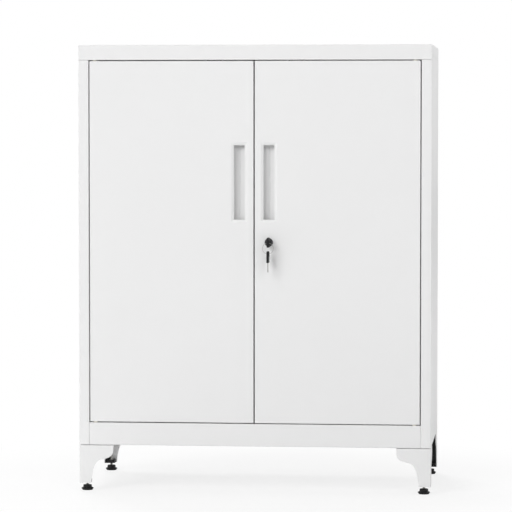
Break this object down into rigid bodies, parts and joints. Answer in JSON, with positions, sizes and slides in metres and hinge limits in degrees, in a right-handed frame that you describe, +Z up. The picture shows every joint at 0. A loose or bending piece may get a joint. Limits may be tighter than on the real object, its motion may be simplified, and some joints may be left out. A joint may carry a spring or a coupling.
{
  "type": "tool cabinet with doors",
  "caption": "Free-standing white sheet-steel cabinet with hinged doors, recessed vertical pulls, a key lock, adjustable shelves and bracket legs on levelling feet",
  "frame": {"origin": "on the floor, in the middle of the cabinet's footprint and overall box in plan", "axes": "+X to the viewer's right, +Y to the back, +Z up; the doors face -Y"},
  "size_m": [0.8, 0.4357, 1.013],
  "materials": {
    "white_paint": "fine-textured white powder coat on sheet steel",
    "black_plastic": "moulded black nylon",
    "ivory_plastic": "moulded natural nylon",
    "zinc_steel": "zinc-plated steel",
    "lock_metal": "die-cast metal with dull grey plating",
    "key_steel": "nickel-plated steel"
  },
  "bodies": {
    "cabinet": {"left_side_panel": "white_paint", "right_side_panel": "white_paint", "top_panel": "white_paint", "bottom_panel": "white_paint", "back_panel": "white_paint", "left_front_upright": "white_paint", "left_rear_upright": "white_paint", "right_front_upright": "white_paint", "right_rear_upright": "white_paint", "lower_shelf_clips": "zinc_steel", "upper_shelf_clips": "zinc_steel", "front_left_leg": "white_paint", "front_right_leg": "white_paint", "rear_left_leg": "white_paint", "rear_right_leg": "white_paint", "front_left_leg_insert": "black_plastic", "front_right_leg_insert": "black_plastic", "rear_left_leg_insert": "black_plastic", "rear_right_leg_insert": "black_plastic", "leg_nuts": "zinc_steel", "leg_screws": "zinc_steel", "panel_screws": "zinc_steel", "hinge_pins": "zinc_steel", "magnetic_catches": "black_plastic"},
    "lower_shelf_body": {"lower_shelf": "white_paint"},
    "upper_shelf_body": {"upper_shelf": "white_paint"},
    "front_left_foot": {"front_left_foot_stud": "zinc_steel", "front_left_foot_base": "black_plastic"},
    "front_right_foot": {"front_right_foot_stud": "zinc_steel", "front_right_foot_base": "black_plastic"},
    "rear_left_foot": {"rear_left_foot_stud": "zinc_steel", "rear_left_foot_base": "black_plastic"},
    "rear_right_foot": {"rear_right_foot_stud": "zinc_steel", "rear_right_foot_base": "black_plastic"},
    "left_door": {"left_door_skin": "white_paint", "left_door_channel": "white_paint", "left_pull_pocket": "white_paint", "left_hinge_bushes": "ivory_plastic", "left_strike_plate": "zinc_steel", "left_bolt_guides": "zinc_steel"},
    "upper_bolt": {"left_upper_bolt": "zinc_steel"},
    "lower_bolt": {"left_lower_bolt": "zinc_steel"},
    "right_door": {"right_door_skin": "white_paint", "right_door_channel": "white_paint", "right_pull_pocket": "white_paint", "right_hinge_bushes": "ivory_plastic", "right_strike_plate": "zinc_steel", "rod_guides": "zinc_steel", "lock_barrel": "lock_metal", "lock_nut": "zinc_steel"},
    "lock_core": {"lock_plug": "lock_metal", "lock_cam": "zinc_steel", "cam_screw": "zinc_steel"},
    "upper_rod": {"upper_lock_rod": "zinc_steel"},
    "lower_rod": {"lower_lock_rod": "zinc_steel"},
    "key": {"key_bow": "black_plastic", "key_blade": "key_steel"},
    "ring": {"key_ring": "key_steel"},
    "spare_key": {"spare_key_bow": "black_plastic", "spare_key_blade": "key_steel"}
  },
  "joints": [
    {"name": "left_door_hinge", "type": "hinge", "parent": "cabinet", "child": "left_door", "pos_m": [-0.3628, -0.195, 0.5645], "axis": [0, 0, -1], "range_deg": [0, 110]},
    {"name": "right_door_hinge", "type": "hinge", "parent": "cabinet", "child": "right_door", "pos_m": [0.3628, -0.195, 0.5645], "axis": [0, 0, 1], "range_deg": [0, 110]},
    {"name": "left_upper_bolt_slide", "type": "slide", "parent": "left_door", "child": "upper_bolt", "axis": [0, 0, 1], "range_m": [0, 0.015]},
    {"name": "left_lower_bolt_slide", "type": "slide", "parent": "left_door", "child": "lower_bolt", "axis": [0, 0, -1], "range_m": [0, 0.015]},
    {"name": "lock_turn", "type": "hinge", "parent": "right_door", "child": "lock_core", "pos_m": [0.0335, -0.2, 0.568], "axis": [0, 1, 0], "range_deg": [0, 90]},
    {"name": "upper_rod_slide", "type": "slide", "parent": "right_door", "child": "upper_rod", "axis": [0, 0, 1], "range_m": [0, 0.01556]},
    {"name": "lower_rod_slide", "type": "slide", "parent": "right_door", "child": "lower_rod", "axis": [0, 0, -1], "range_m": [0, 0.01556]},
    {"name": "key_slide", "type": "slide", "parent": "lock_core", "child": "key", "axis": [0, -1, 0], "range_m": [0, 0.03]},
    {"name": "ring_hang", "type": "hinge", "parent": "key", "child": "ring", "pos_m": [0.0335, -0.2227, 0.5674], "axis": [0, 1, 0], "range_deg": [-45, 0]},
    {"name": "spare_key_hang", "type": "hinge", "parent": "ring", "child": "spare_key", "pos_m": [0.0335, -0.2227, 0.5426], "axis": [0, 1, 0], "range_deg": [-45, 0]},
    {"name": "front_left_foot_height", "type": "slide", "parent": "cabinet", "child": "front_left_foot", "axis": [0, 0, -1], "range_m": [-0.003, 0.01]},
    {"name": "front_right_foot_height", "type": "slide", "parent": "cabinet", "child": "front_right_foot", "axis": [0, 0, -1], "range_m": [-0.003, 0.01]},
    {"name": "rear_left_foot_height", "type": "slide", "parent": "cabinet", "child": "rear_left_foot", "axis": [0, 0, -1], "range_m": [-0.003, 0.01]},
    {"name": "rear_right_foot_height", "type": "slide", "parent": "cabinet", "child": "rear_right_foot", "axis": [0, 0, -1], "range_m": [-0.003, 0.01]},
    {"name": "lower_shelf_lift", "type": "slide", "parent": "cabinet", "child": "lower_shelf_body", "axis": [0, 0, 1], "range_m": [0, 0.02]},
    {"name": "upper_shelf_lift", "type": "slide", "parent": "cabinet", "child": "upper_shelf_body", "axis": [0, 0, 1], "range_m": [0, 0.02]}
  ],
  "couplings": [
    {"joint": "lower_rod_slide", "follows": "upper_rod_slide", "ratio": 1},
    {"joint": "lock_turn", "follows": "upper_rod_slide", "rad_per_m": 100.97},
    {"joint": "ring_hang", "follows": "upper_rod_slide", "rad_per_m": -50.487},
    {"joint": "spare_key_hang", "follows": "upper_rod_slide", "rad_per_m": -50.487}
  ]
}
